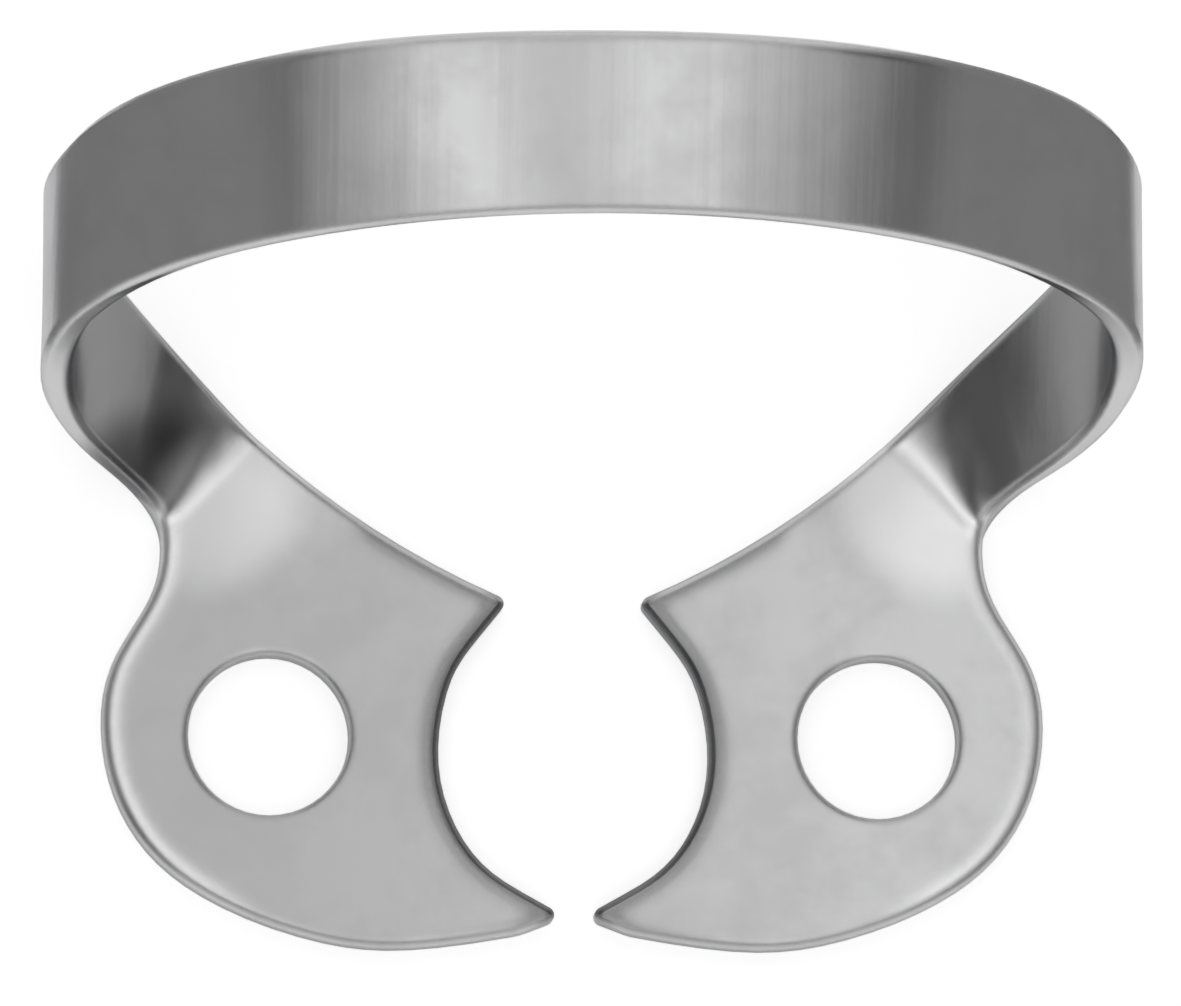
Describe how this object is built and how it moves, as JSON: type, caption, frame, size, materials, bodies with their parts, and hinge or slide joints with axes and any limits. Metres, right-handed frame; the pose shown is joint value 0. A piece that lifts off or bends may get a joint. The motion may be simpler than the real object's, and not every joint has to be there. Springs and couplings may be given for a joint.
{
  "type": "rubber dam clamp",
  "caption": "Wingless spring clamp for a molar: a wide arched bow over two flat jaws, each with a round forceps hole and a hollowed tooth edge between two prongs.",
  "frame": {"origin": "midway between the tooth edges of the two jaws, on the plane that both jaws lie on: the mount tooth_grip", "axes": "+X from the left jaw to the right jaw, +Y from the jaws towards the bow, +Z away from the gum"},
  "size_m": [0.0256, 0.0191, 0.0155],
  "materials": {
    "steel": "satin tumbled stainless spring steel"
  },
  "bodies": {
    "root": {"clamp": "steel"}
  },
  "joints": []
}
